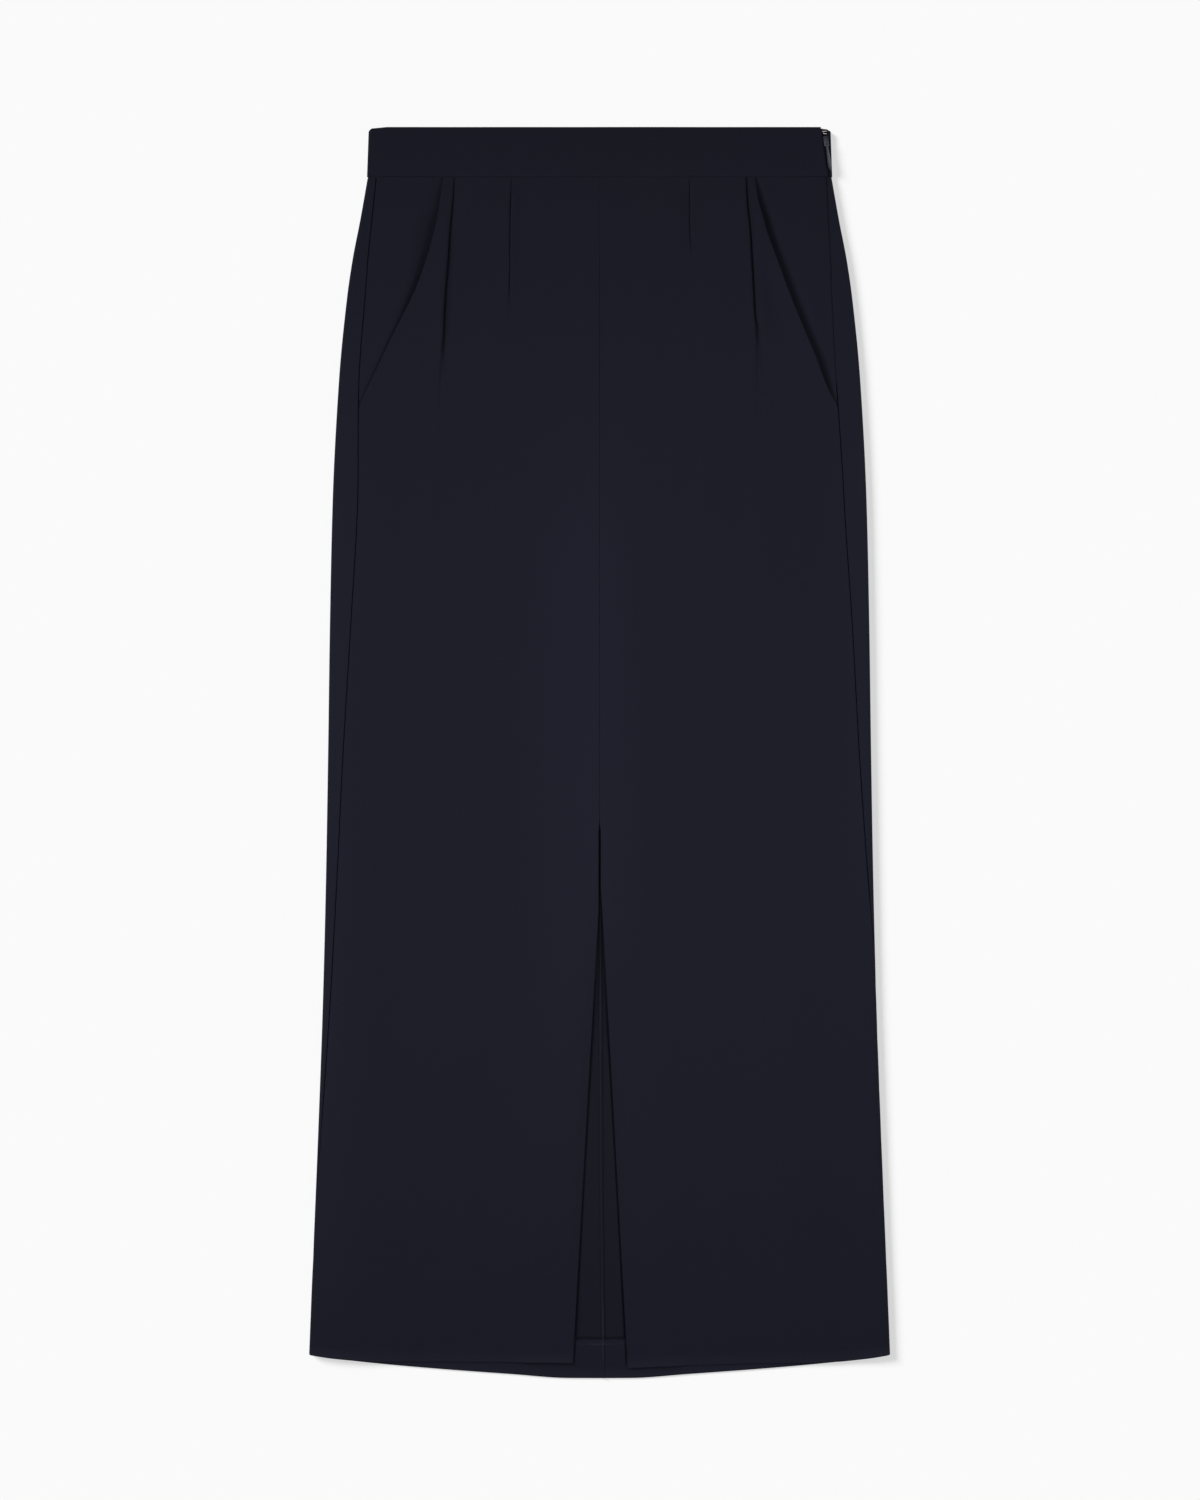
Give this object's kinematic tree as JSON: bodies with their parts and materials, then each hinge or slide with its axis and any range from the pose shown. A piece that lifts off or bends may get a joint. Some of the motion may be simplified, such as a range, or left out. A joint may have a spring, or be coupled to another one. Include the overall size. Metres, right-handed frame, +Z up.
{
  "type": "pleated maxi skirt",
  "caption": "Long straight skirt laid flat, with a plain waistband, short waist pleats, slant hip pockets, a centre-front slit and a side zip.",
  "frame": {"origin": "centre of the bounding box on the surface that the skirt lies on", "axes": "+Y from the hem to the waistband, +X to the zip's side (the wearer's left), +Z up from the surface, with the skirt's front up"},
  "size_m": [0.4641, 1, 0.0071],
  "materials": {
    "navy_cloth": "matte fine suiting crepe",
    "zip_tape": "woven tape with a closed coil",
    "navy_enamel": "satin enamel",
    "hook_metal": "plain wire",
    "loop_thread": "twisted thread"
  },
  "bodies": {
    "skirt": {"waistband": "navy_cloth", "front_left": "navy_cloth", "front_right": "navy_cloth", "back_left": "navy_cloth", "back_right": "navy_cloth", "hip_left": "navy_cloth", "hip_right": "navy_cloth", "zip_tape": "zip_tape", "zip_slider": "navy_enamel", "hook": "hook_metal", "hook_eye": "loop_thread"},
    "pull_tab": {"zip_pull": "navy_enamel"}
  },
  "joints": [
    {"name": "pull_tip", "type": "hinge", "parent": "skirt", "child": "pull_tab", "pos_m": [0.1811, 0.4874, 0.0058], "axis": [-0.989, -0.1478, 0], "range_deg": [0, 120]}
  ]
}
